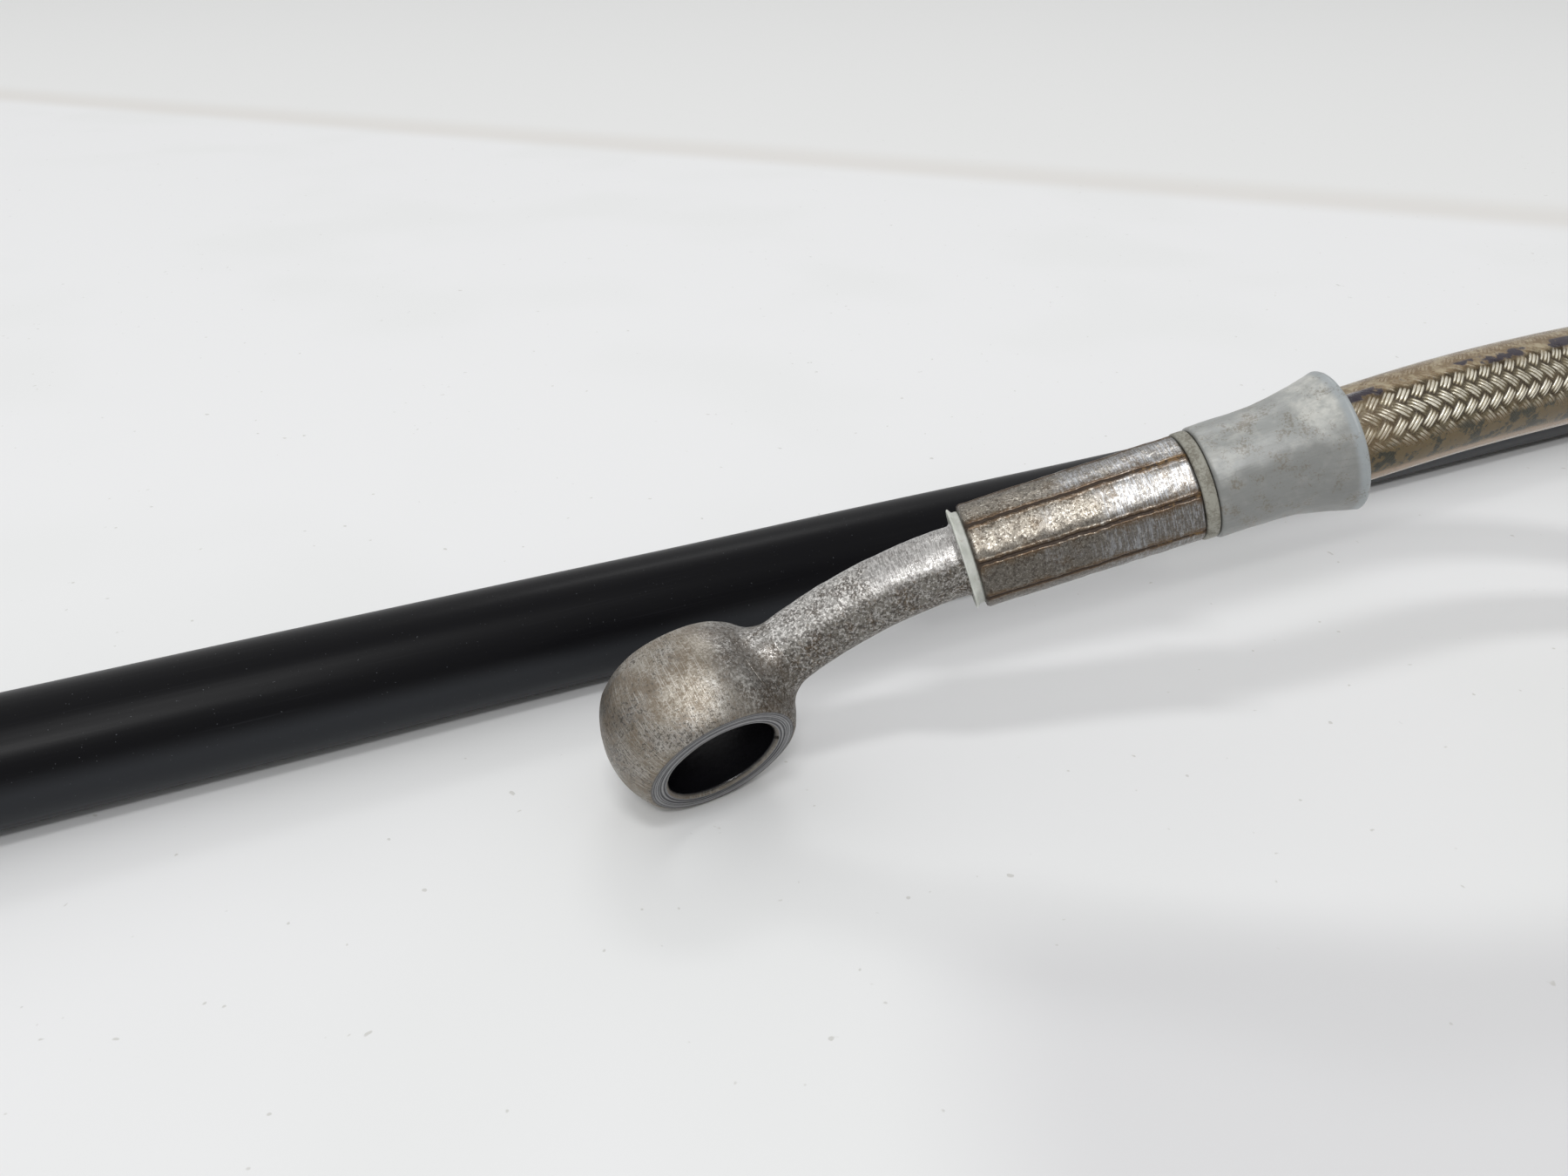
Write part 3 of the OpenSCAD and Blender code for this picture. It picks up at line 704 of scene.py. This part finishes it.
def makeHose():
    path = Path(splineThrough(hoseRoute(), hose['routeStep']))
    whole = path.length[-1]
    coarse = np.r_[np.arange(0, whole, hose['jacketStep']), whole]
    jacket = tubeSkin('hoseJacket', 'hose_jacket', path, coarse, hose['jacketSides'],
                      lambda row, cell: hoseRadius + 0 * row)
    carried(jacket, 'line', 'hose_jacket', 'hose_run_a', 'hose_coil', 'hose_run_b')
    tuple(path.points[0] * mm)
    [tuple(p) for p in path.at(np.r_[np.arange(0, whole, 2), whole])[0] * mm]
    fine = np.r_[np.arange(0, hose['closeUp'], hose['closeStep']),
                 np.arange(hose['closeUp'], whole, hose['farStep']), whole]
    detail = smooth((hose['closeUp'] - fine[:, None]) / hose['easeOut'])
    skin = hoseRadius - hose['wall'] - hose['gap']
    braid = tubeSkin('hoseBraid', 'bare_braid', path, fine, hose['sides'],
                     lambda row, cell: skin - hose['relief'] * detail * (1 - braidHeight(row, cell)),
                     {'raised': detail})
    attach(braid, 'line')
    print(f"hose made: {whole:.0f} mm")


makeHose()


def around(sides):
    return np.linspace(0, fullTurn, sides, endpoint=False)[None, :]


def profileRun(*pieces):
    # A profile's points from pieces of it, each a pair of lists: along and out
    return np.concatenate([np.stack(np.broadcast_arrays(np.atleast_1d(a), np.atleast_1d(b)), -1) * 1.0
                           for a, b in pieces])


def roundCorner(along, out, radius, fromAngle, toAngle, count):
    # Points of a round corner about a centre, for angles counted from the line's direction
    angle = np.radians(np.linspace(fromAngle, toAngle, count))
    return along + radius * np.cos(angle), out + radius * np.sin(angle)


def ringsAt(profile, start, sides):
    # The profile carried round the fitting's line, from that distance along it.
    # Gives the points and, for each, the direction away from the line.
    centre, _, across, aside = neckLine(profile[:, :1] + start)
    angle = around(sides)[..., None]
    away = np.sin(angle) * across - np.cos(angle) * aside
    return centre + profile[:, 1:, None] * away, away


def wrapUv(profile, sides, radius):
    # Round the piece at that radius, and along its profile, both in millimetres
    run = runLengths(profile)
    run = np.r_[run, run[-1] + 0.5]
    return np.stack(np.meshgrid(np.linspace(0, fullTurn * radius, sides + 1), run), -1)


def fitted(end, name, slot, node, points, profile, radius, marks=None, body='line'):
    # One skin of the fitting, laid where that end of the line is
    uv = wrapUv(profile, points.shape[1], radius)
    piece = gridPiece(name + end, slot, placed(end, points), uv, marks=marks)
    carried(piece, body, slot, node + end)


eye = {'ball': 8.6, 'half': 5.0, 'bore': 5.05, 'chamfer': 0.3, 'round': 0.28, 'port': 1.6, 'portDeep': 2.2,
       'portEase': 0.3, 'sides': 300, 'waviness': 0.035, 'tipRound': 0.05, 'ringDeep': 0.03,
       'ringPitch': 0.42, 'ringEase': 0.5, 'plainRim': 0.3, 'grainFrom': 3.5, 'grainLong': 4.5}


def makeEye(end):
    # A ball bored through and cut flat on both sides, so its outside is the root of the ball's
    # radius squared less the way along squared. A port leads from the bore into the neck.
    ball, half, bore, edge = eye['ball'], eye['half'], eye['bore'], eye['round']
    mouth = bore + eye['chamfer']
    faceOut = math.sqrt(ball ** 2 - half ** 2)
    tip = math.asin(half / ball) - eye['tipRound']
    over = np.linspace(tip, -tip, 90)
    inward, outward = np.array([0.02, 0.09, 0.2]), faceOut + edge * np.array([-0.45, -0.02, 0.36])
    profile = profileRun(
        (np.linspace(-half + eye['chamfer'], half - eye['chamfer'], 60), bore),
        (half, [mouth, mouth + 0.04]),
        (half, np.linspace(mouth + 0.1, faceOut - edge, 30)),
        (half - inward, outward),
        (ball * np.sin(over), ball * np.cos(over)),
        (inward[::-1] - half, outward[::-1]),
        (-half, np.linspace(faceOut - edge, mouth + 0.1, 30)),
        (-half, [mouth + 0.04, mouth]))
    along, out = profile[:, :1], profile[:, 1:]
    angle = around(eye['sides'])
    onFace = (np.abs(along) > half - 0.01) & (out > mouth)
    inBore = (out < bore + eye['chamfer'] * 0.6) & (np.abs(along) < half - eye['chamfer'] * 0.3)
    plain = np.stack([out * np.cos(angle), out * np.sin(angle), along + 0 * angle], -1)
    swell = np.where(onFace | inBore, 0, eye['waviness'] * (waves(plain, 7, 3) + 0.5 * waves(plain, 2.4, 5)))
    fromPort = np.hypot(plain[..., 1], plain[..., 2])
    port = np.where(inBore & (plain[..., 0] > 0), smooth((eye['port'] - fromPort) / eye['portEase']), 0)
    rings = np.where(onFace, np.cos(out * fullTurn / eye['ringPitch']), 0) \
        * smooth((out - mouth) / eye['ringEase']) * smooth((faceOut - out) / eye['plainRim'] - 1)
    grown = out + swell + port * eye['portDeep']
    points = np.stack([grown * np.cos(angle), grown * np.sin(angle),
                       along - np.sign(along) * eye['ringDeep'] * rings + 0 * angle], -1)
    fitted(end, 'eyeBarrel_', 'forged_steel', 'eye_', points, profile, ball,
           {'face': onFace, 'bore': inBore, 'spin': out,
            'grain': smooth((plain[..., 0] - eye['grainFrom']) / eye['grainLong'])})


cove = {'radius': 3.0, 'centre': (9.89, 6.07), 'foot': (7.33, 4.5), 'inner': 3.07, 'sides': 160,
        'waviness': 0.03, 'wrap': 4}


def makeCove(end):
    # A hollow round of the given radius that touches both the ball and the neck
    x, r = cove['centre']
    foot, inner = cove['foot'], cove['inner']
    start = math.degrees(math.atan2(foot[1] - r, foot[0] - x))
    profile = profileRun((foot[0] - 0.35, foot[1] - 0.25),
                         roundCorner(x, r, cove['radius'], start % 360, 270, 30),
                         (x + 0.15, inner - 0.1), ([x - 1.2, x - 2.4], inner - 0.15))
    angle = around(cove['sides'])
    away = np.stack([0 * angle, np.cos(angle), np.sin(angle)], -1)
    points = profile[:, :1, None] * [1, 0, 0] + profile[:, 1:, None] * away
    swell = smooth((profile[:, 1:] - inner) / 0.3) * cove['waviness'] * waves(points, 2.6, 8)
    fitted(end, 'brazeCove_', 'forged_steel', 'braze_fillet_', points + swell[..., None] * away, profile,
           cove['wrap'], {'grain': 1})


neck = {'radius': 3.05, 'bore': 1.1, 'tailBore': 0.9, 'bead': 3.2, 'groove': 2.8, 'lip': 1.5, 'shoulder': 1.0,
        'barb': 1.73, 'barbDeep': 0.2, 'barbs': 4, 'from': 7.5, 'sides': 120, 'waviness': 0.012,
        'wornFrom': 14, 'wornLong': 10}
tailFrom = ferruleAt + neck['lip'] + neck['shoulder']


def makeNeck(end):
    # The bent tube, the bead and groove that hold the ferrule, and a barbed tail. The profile then
    # comes back along the bore.
    tailTo = hoseAt - 1
    pitch = (tailTo - tailFrom) / (neck['barbs'] + 1)
    root = neck['barb'] - neck['barbDeep']
    barbs = [(tailFrom + np.array([k, k, k + 0.7]) * pitch, [root, neck['barb'], root])
             for k in range(1, neck['barbs'] + 1)]
    profile = profileRun(
        (np.arange(neck['from'], washerAt - 0.2, 0.2), neck['radius']),
        (np.linspace(washerAt - 0.1, ferruleAt - 0.05, 8), neck['bead']),
        ([ferruleAt, ferruleAt + neck['lip']], neck['groove']),
        ([ferruleAt + neck['lip'], tailFrom], neck['radius']),
        (tailFrom, root), *barbs, (tailTo, root),
        (np.linspace(tailTo, washerAt, 12), neck['tailBore']),
        (np.arange(washerAt, neck['from'], -0.8), neck['bore']))
    along, out = profile[:, :1], profile[:, 1:]
    points, away = ringsAt(profile, 0, neck['sides'])
    swell = neck['waviness'] * (waves(points, 2.2, 12) + waves(points, 6, 14))
    swell = np.where((out > neck['radius'] - 0.01) & (along < washerAt), swell, 0)
    fitted(end, 'neckTube_', 'neck_steel', 'neck_', points + swell[..., None] * away, profile,
           neck['radius'], {'far': smooth((along - neck['wornFrom']) / neck['wornLong'])})


washer = {'inner': 3.22, 'front': 4.25, 'back': 4.0, 'edge': 0.1, 'ragged': 0.16, 'tornWide': 0.35,
          'sides': 200, 'wrap': 4.2}


def makeWasher(end):
    # A thin ring, wider and ragged at its front edge
    thick, inner, edge = layout['washer'], washer['inner'], washer['edge']
    front, back = washer['front'], washer['back']
    profile = profileRun(
        (0, [inner, front - 0.12]), roundCorner(edge, front - edge, edge, 180, 60, 5),
        ([thick * 0.45, thick * 0.8, thick], [front - 0.22, back + 0.02, back - 0.03]),
        ([thick, thick * 0.8, thick * 0.5, thick * 0.2], inner))
    points, away = ringsAt(profile, washerAt, washer['sides'])
    torn = washer['ragged'] * (0.35 + 0.9 * waves(points, 3.0, 21) + 0.4 * waves(points, 0.9, 22))
    torn = smooth((profile[:, 1:] - back) / washer['tornWide']) * torn
    fitted(end, 'splashWasher_', 'washer_nylon', 'collar_', points + torn[..., None] * away, profile,
           washer['wrap'])


ferrule = {'outer': 4.5, 'bore': 3.47, 'mouth': 2.82, 'edge': 0.3, 'marks': 8, 'turn': math.radians(5.5),
           'sides': 480, 'step': 0.14, 'deep': 0.13, 'wide': 0.13, 'lipUp': 0.03, 'lipAt': 0.28,
           'lipWide': 0.09, 'sway': (0.05, 0.03), 'flat': 0.03, 'flatFrom': 0.6, 'flatLong': 1.2,
           'dents': (0.012, 0.02), 'sootWide': 0.15, 'stainWide': 0.55, 'endSoot': 0.6}


def makeFerrule(end):
    # Round shell with one lengthwise crimp groove in each eighth, a raised lip on both its sides
    long, outer, edge = layout['ferrule'], ferrule['outer'], ferrule['edge']
    profile = profileRun(
        (0, [ferrule['mouth'], outer - edge - 0.1]), roundCorner(edge, outer - edge, edge, 175, 95, 7),
        (np.arange(edge, long - edge, ferrule['step']), outer),
        roundCorner(long - edge, outer - edge, edge, 90, 0, 8),
        (long, [outer - edge - 0.2, ferrule['bore'] + 0.1]),
        (np.linspace(long - 0.1, neck['lip'], 10), ferrule['bore']),
        ([neck['lip'], neck['lip'] * 0.5], ferrule['mouth']))
    along, out = profile[:, :1], profile[:, 1:]
    points, away = ringsAt(profile, ferruleAt, ferrule['sides'])
    eighth = fullTurn / ferrule['marks']
    fromMark = ((around(ferrule['sides']) - ferrule['turn'] + eighth / 2) % eighth - eighth / 2) * outer
    sway, dent = ferrule['sway'], ferrule['dents']
    near = np.abs(fromMark + sway[0] * waves(points, 3.5, 31) + sway[1] * waves(points, 0.8, 32))
    skin = smooth((out - ferrule['bore'] - 0.2) / 0.6)
    lip = ferrule['lipUp'] * np.exp(-((near - ferrule['lipAt']) / ferrule['lipWide']) ** 2)
    groove = ferrule['deep'] * smooth(1.25 - near / ferrule['wide'])
    panel = ferrule['flat'] * smooth((near - ferrule['flatFrom']) / ferrule['flatLong'])
    dents = dent[0] * waves(points, 1.1, 33) + dent[1] * waves(points, 4.0, 34)
    points = points + (skin * (lip - groove - panel + dents))[..., None] * away
    endDirt = smooth(1 - along / 0.5) + smooth(1 - (long - along) / 0.4)
    soot = np.exp(-(near / ferrule['sootWide']) ** 2) + endDirt * ferrule['endSoot']
    fitted(end, 'crimpShell_', 'ferrule_steel', 'ferrule_', points, profile, outer,
           {'crimp': np.clip(soot, 0, 1) * skin, 'far': np.clip(along / long, 0, 1),
            'beside': np.exp(-(near / ferrule['stainWide']) ** 2) * skin})


seat = {'outer': 4.6, 'play': 0.05, 'thick': 1.1, 'edge': 0.2, 'sides': 128}


def makeSeat(end):
    # Narrow ring with rounded edges between the ferrule and the bend sleeve
    outer, thick, edge = seat['outer'], seat['thick'], seat['edge']
    inner = hoseRadius + seat['play']
    profile = profileRun(
        (0, inner), roundCorner(edge, outer - edge, edge, 180, 90, 5),
        roundCorner(thick - edge, outer - edge, edge, 90, 0, 5), ([thick, thick * 0.5], inner))
    points = ringsAt(profile, hoseAt, seat['sides'])[0]
    fitted(end, 'seatRing_', 'seat_rubber', 'seat_ring_', points, profile, outer)


sleeve = {'bore': 4.3, 'outer': 4.75, 'mouth': 5.88, 'lip': 0.7, 'edge': 0.3, 'sides': 256, 'waviness': 0.03,
          'rimLong': 1.1, 'rimEase': 0.5}


def makeSleeve(end):
    # Straight narrow end, then a flare that ends in a rolled rim. The flare opens as the square of the
    # way times one and a half less half the way.
    long, edge, rim = layout['sleeve'], sleeve['edge'], sleeve['lip'] / 2
    bore, outer, mouth = sleeve['bore'], sleeve['outer'], sleeve['mouth']
    share = np.linspace(0, 1, 60)
    opens = share ** 2 * (1.5 - 0.5 * share)
    flareFrom = long * layout['flare']
    straight = np.linspace(edge, flareFrom, 20)[:-1]
    flare = flareFrom + (long - rim - flareFrom) * share
    inside = bore + (mouth - sleeve['lip'] - bore) * opens
    profile = profileRun(
        (0, [bore, outer - edge - 0.02]), roundCorner(edge, outer - edge, edge, 178, 92, 7),
        (straight, outer), (flare, outer + (mouth - outer) * opens),
        roundCorner(long - rim, mouth - rim, rim, 80, -80, 12),
        (flare[::-1], inside[::-1]), (straight[::-3], bore))
    along, out = profile[:, :1], profile[:, 1:]
    points, away = ringsAt(profile, sleeveAt, sleeve['sides'])
    skin = out > outer - 0.6
    swell = np.where(skin, sleeve['waviness'] * (waves(points, 6, 41) + 0.5 * waves(points, 2, 42)), 0)
    points = points + swell[..., None] * away
    fitted(end, 'bendSleeve_', 'sleeve_plastic', 'bend_sleeve_', points, profile, outer,
           {'rim': smooth((along - long + sleeve['rimLong']) / sleeve['rimEase']) * skin,
            'flare': smooth((along - flareFrom) / (long - flareFrom)) * skin}, 'bend_sleeve_' + end)


insides = {'linerEnd_': {'slot': 'liner_ptfe', 'node': 'liner_end_', 'outer': 2.5, 'inner': 1.75},
           'braidEnd_': {'slot': 'bare_braid', 'node': 'braid_end_', 'outer': 3.45, 'inner': 2.52}}


def makeInsides(end):
    # The stripped ends of liner and braid, as two plain tubes held inside the ferrule
    start, sides = tailFrom + 0.1, 96
    for name, look in insides.items():
        profile = profileRun((np.linspace(start, hoseAt, 40), look['outer']),
                             (np.linspace(hoseAt, start, 12), look['inner']))
        points = placed(end, ringsAt(profile, 0, sides)[0])
        wound = wrapUv(profile, sides, braidLook['rows'] / fullTurn) / [1, braidLook['cell']]
        carried(gridPiece(name + end, look['slot'], points, wound), 'line', look['slot'], look['node'] + end)


for end in layout['ends']:
    for make in (makeEye, makeCove, makeNeck, makeWasher, makeFerrule, makeSeat, makeSleeve, makeInsides):
        make(end)
print("fittings made")


guard = {'inner': 4.5, 'edge': 0.25, 'sides': 128, 'step': 1.6, 'waviness': 0.03}


def makeGuard():
    # A straight tube with rounded cut ends; its skin swells a little along its length
    long, outer, edge = layout['guardLong'], layout['guardWide'] / 2, guard['edge']
    profile = profileRun(
        (0, guard['inner']), roundCorner(edge, outer - edge, edge, 180, 90, 5),
        (np.arange(1, long - 1, guard['step']), outer),
        roundCorner(long - edge, outer - edge, edge, 90, 0, 5),
        (np.linspace(long, 0, 60)[:-1], guard['inner']))
    along, out = profile[:, :1, None], profile[:, 1:, None]
    angle = around(guard['sides'])[..., None]
    away = np.cos(angle) * upright + np.sin(angle) * guardAside
    swell = guard['waviness'] * (waves(along * [0.3, 0, 0] + 4 * away, 9, 51) - 1)[..., None]
    points = guardFrom + along * guardWay + (out + np.where(out > outer - edge, swell, 0)) * away
    piece = gridPiece('guardTube', 'guard_black', points, wrapUv(profile, guard['sides'], outer))
    carried(piece, 'guard_tube', 'guard_black', 'guard_tube')


tie = {'wide': 4.0, 'thick': 0.85, 'gap': 0.15, 'angles': (-55, 55), 'edge': 0.3,
       'headSides': 48, 'headRows': 17, 'headDeep': 1.75, 'headBroad': 0.625, 'square': 0.35, 'taper': 0.12}


def stackedOutline(radius, count=16):
    # Round both hoses of the coil, one on the other: two half circles and the straights between them
    half = np.linspace(0, math.pi, count)
    x, y = radius * np.cos(half), radius * np.sin(half)
    return np.concatenate([np.stack([x, layout['hose'] + y], 1), np.stack([-x, -y], 1)])


def makeTies():
    # A band's rounded section is carried round both hoses. Its head is a block whose corners are
    # rounded by a power of the cosine and sine.
    half, thick, edge = tie['wide'] / 2, tie['thick'], tie['edge']
    inner = hoseRadius + tie['gap']
    section = profileRun(roundCorner(half - edge, thick - edge, edge, 0, 90, 4),
                         roundCorner(edge - half, thick - edge, edge, 90, 180, 4), ([-half, half], 0))
    core = stackedOutline(0)[:, None]
    ring = core + (stackedOutline(1)[:, None] - core) * (inner + section[:, 1:])
    band = np.stack(np.broadcast_arrays(coilRadius + ring[..., 0], section[:, 0], ring[..., 1]), -1)
    outward, tall, broad = tie['headDeep'] * thick, hoseRadius / 2, tie['headBroad'] * tie['wide']
    angle = around(tie['headSides'])
    level = np.linspace(-1, 1, tie['headRows'])[:, None]
    shrink = (1 - np.abs(level) ** 8) ** 0.25 * tie['taper'] + 1 - tie['taper']
    x, y = [np.sign(side) * np.abs(side) ** tie['square'] * shrink for side in (np.cos(angle), np.sin(angle))]
    head = np.stack(np.broadcast_arrays(coilRadius + inner + thick / 2 + outward * (1 + x), broad * y,
                                        hoseRadius + tall * level), -1)
    for number, degrees in enumerate(tie['angles']):
        out, right = levelWays(math.radians(degrees))
        ways = np.stack([out, -right, upright])
        for name, points, caps in (('tieBand_', band, False), ('tieHead_', head, True)):
            piece = gridPiece(f'{name}{number}', 'tie_nylon', coilMiddle + points @ ways, caps=caps)
            carried(piece, 'line', 'tie_nylon', 'coil_ties')


makeGuard()
makeTies()
print("guard and ties made")


room = {'x': (-1400, 1600), 'y': (-900, 1900),
        'near': (0.80, 0.805, 0.81), 'cloudy': (0.765, 0.775, 0.77), 'beyond': (0.775, 0.78, 0.775),
        'crease': (0.70, 0.68, 0.65), 'creaseAt': (-330, 447.6), 'creaseTurn': math.radians(-22.73),
        'shade': (0.665, 0.665, 0.675), 'shadeRight': ((12, 30), (90, 160)),
        'shadeFront': ((11, 22), (60, 110)), 'speck': (0.45, 0.44, 0.40)}


def makeRoom():
    # A pale surface that changes tone past a soft crease, with a faint cool painted shadow at its front right
    flow, place = newFinish('tableTop')
    x, y = place.part(0), place.part(1)
    turn = room['creaseTurn']
    past = (y - room['creaseAt'][1]) * math.cos(turn) - (x - room['creaseAt'][0]) * math.sin(turn)
    right, front = [way.fit(*rise) * (1 - way.fit(*fall))
                    for way, (rise, fall) in ((x, room['shadeRight']), (0 - y, room['shadeFront']))]
    colour = place.paint(
        room['near'],
        (room['cloudy'], place.noise(60).fit(0.45, 0.65) * 0.5),
        (room['beyond'], past.fit(-8, 12)),
        (room['crease'], past.fit(-18, 0) * (1 - past.fit(0, 30)) * 0.7),
        (room['shade'], right * front * 0.8),
        (room['speck'], place.noise(1.2, 1, 0.5, 5.0).fit(0.775, 0.81) * 0.5))
    finish = surface(flow, {'Base Color': colour, 'Roughness': 0.6, 'Specular IOR Level': 0.2})
    mesh = bpy.data.meshes.new('tableTop')
    corners = np.array([(room['x'][i], room['y'][j], -layout['tableDrop'])
                        for i, j in ((0, 0), (1, 0), (1, 1), (0, 1))])
    mesh.from_pydata((corners * mm).tolist(), [], [(0, 1, 2, 3)])
    mesh.materials.append(finish)
    inScene('tableTop', mesh)


lamps = {
    'overhead': {'tilt': 21, 'far': 2.8, 'size': (0.7, 0.22), 'share': 0.18},
    'front': {'tilt': 42, 'far': 2.8, 'size': (0.5, 0.22), 'share': 0.18},
    'behind': {'tilt': -42, 'far': 2.8, 'size': (0.9, 0.3), 'share': 0.06},
}
daylight = {'left': 0.84, 'right': 0.46, 'horizon': 0.85, 'lampsAt': 0.03}


def makeLights():
    # Soft light all round, brighter from the left, and long ceiling lamps in metres.
    # share is the part of the surface's light that a lamp gives it.
    world = bpy.data.worlds.new('daylight')
    bpy.context.scene.world = world
    flow = emptied(world)
    way = flow.node('TexCoord')
    glow = way.part(0).fit(-0.9, 0.9, daylight['left'], daylight['right']) \
        * way.part(2).fit(0.0, 0.5, daylight['horizon'], 1.0)
    sky = flow.node('Background', {'Color': (1, 1, 1, 1), 'Strength': glow})
    flow.node('OutputWorld', {'Surface': sky})
    for name, look in lamps.items():
        lamp = bpy.data.lights.new(name, 'AREA')
        lamp.shape, lamp.size, lamp.size_y = 'RECTANGLE', *look['size']
        tilt = math.radians(look['tilt'])
        lamp.energy = look['share'] * (math.pi * look['far']) ** 2 / math.cos(tilt)
        held = inScene(name, lamp)
        held.location = (daylight['lampsAt'], -look['far'] * math.sin(tilt), look['far'] * math.cos(tilt))
        held.rotation_euler = (tilt, 0, 0)


makeRoom()
makeLights()
bpy.context.scene.view_settings.view_transform = 'Standard'
